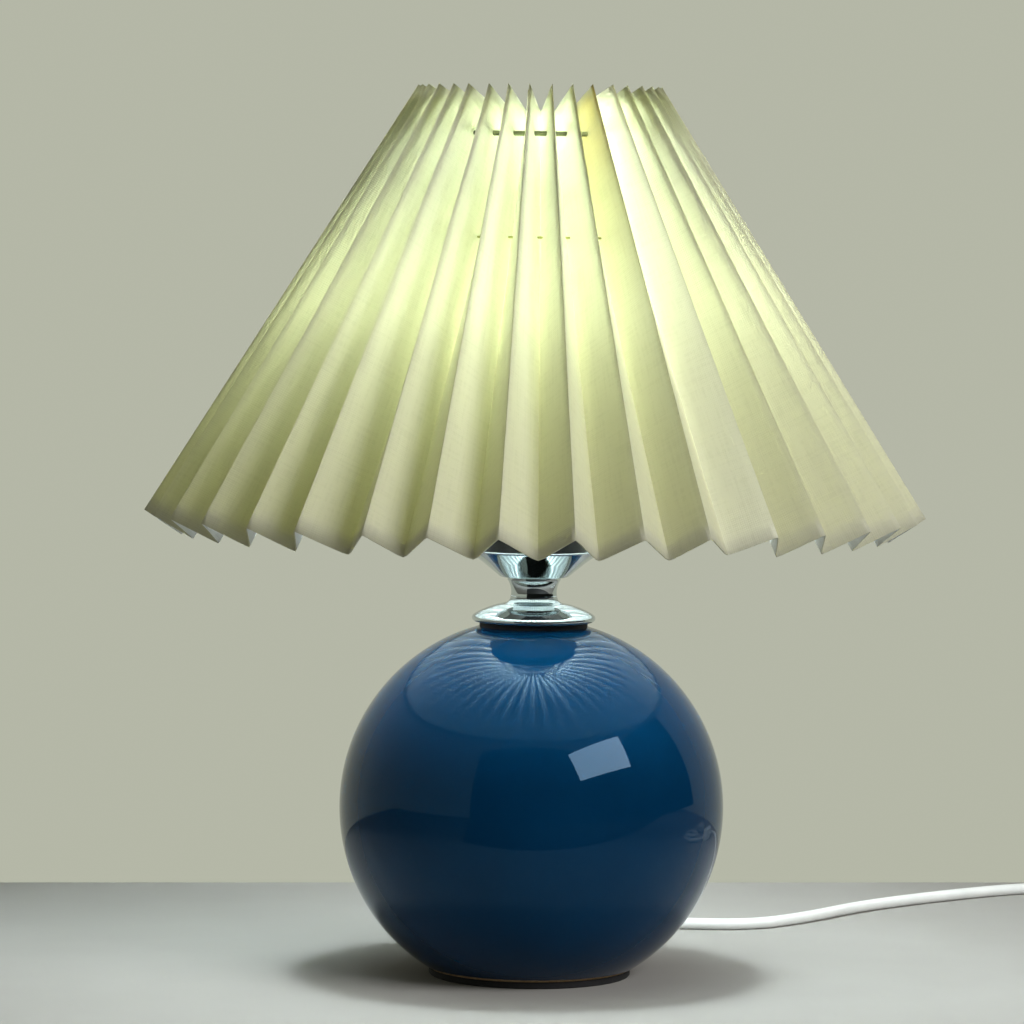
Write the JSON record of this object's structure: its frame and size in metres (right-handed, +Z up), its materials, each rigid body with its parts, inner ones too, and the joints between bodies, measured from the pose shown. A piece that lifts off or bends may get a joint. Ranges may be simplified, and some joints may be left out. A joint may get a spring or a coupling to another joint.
{
  "type": "ceramic table lamp",
  "caption": "Table lamp with a glazed ceramic ball body, chrome neck and pleated cone shade on a wire frame, with a screw-in bulb, a cord switch and a plug.",
  "frame": {"origin": "centre of the foot pad's underside, on the table", "axes": "+Z up along the lamp's axis; -Y is the front, towards the picture's viewer; the cord leaves the body at the back, +Y, and lies off to +X"},
  "size_m": [0.4803, 0.3625, 0.3188],
  "materials": {
    "pad": "matt foam",
    "glaze": "gloss glaze",
    "black_rubber": "matt",
    "chrome": "polished",
    "zinc_steel": "zinc plated",
    "holder": "satin moulding",
    "porcelain": "unglazed",
    "brass": "satin",
    "cord": "soft white sheath",
    "white_plastic": "moulded",
    "pins": "nickel plated",
    "white_wire": "painted wire",
    "shade": "linen faced pleated sheet",
    "thread": "twisted thread",
    "black_glass": "glossy",
    "nickel": "nickel plated",
    "board": "circuit board",
    "white_board": "white coated",
    "opal": "opal diffuser"
  },
  "bodies": {
    "base": {"foot_pad": "pad", "ceramic_body": "glaze", "neck_gasket": "black_rubber", "vase_cap": "chrome", "neck_spool": "chrome", "socket_cup": "chrome", "threaded_pipe": "zinc_steel", "cushion_washer": "black_rubber", "pipe_washer": "zinc_steel", "pipe_nut": "zinc_steel", "holder_cap": "holder", "holder_core": "porcelain", "terminal_screws": "brass", "holder_sleeve": "holder", "screw_shell": "brass", "centre_contact": "brass", "cord_grommet": "cord", "inner_lead": "cord", "conductors": "brass", "cord_run": "cord", "switch_base": "white_plastic", "switch_cover": "white_plastic", "switch_screws": "zinc_steel", "switch_blades": "brass", "cord_link": "cord", "cord_coil": "cord", "coil_tie": "white_plastic", "plug_body": "white_plastic", "plug_pins": "pins"},
    "shade": {"fitter_ring": "white_wire", "frame_arms": "white_wire", "top_ring": "white_wire", "pleated_shade": "shade", "gather_thread": "thread"},
    "shade_ring": {"shade_ring": "holder"},
    "bulb_carrier": {"bulb_tip": "nickel"},
    "bulb": {"bulb_insulator": "black_glass", "bulb_cap": "nickel", "driver_board": "board", "bulb_housing": "white_plastic", "led_board": "white_board", "bulb_globe": "opal"},
    "rocker": {"switch_rocker": "white_plastic"}
  },
  "joints": [
    {"name": "shade_swivel", "type": "hinge", "parent": "base", "child": "shade", "pos_m": [0, 0, 0.1698], "axis": [0, 0, 1], "continuous": true},
    {"name": "shade_ring_lift", "type": "slide", "parent": "base", "child": "shade_ring", "axis": [0, 0, 1], "range_m": [0, 0.012]},
    {"name": "bulb_rise", "type": "slide", "parent": "base", "child": "bulb_carrier", "axis": [0, 0, 1], "range_m": [0, 0.01809]},
    {"name": "bulb_turn", "type": "hinge", "parent": "bulb_carrier", "child": "bulb", "pos_m": [0, 0, 0.18], "axis": [0, 0, 1], "range_deg": [0, 1800]},
    {"name": "rocker_tilt", "type": "hinge", "parent": "base", "child": "rocker", "pos_m": [0.2502, 0.145, 0.011], "axis": [-1, 0, 0], "range_deg": [0, 14]}
  ],
  "couplings": [
    {"joint": "bulb_turn", "follows": "bulb_rise", "rad_per_m": 1736}
  ]
}
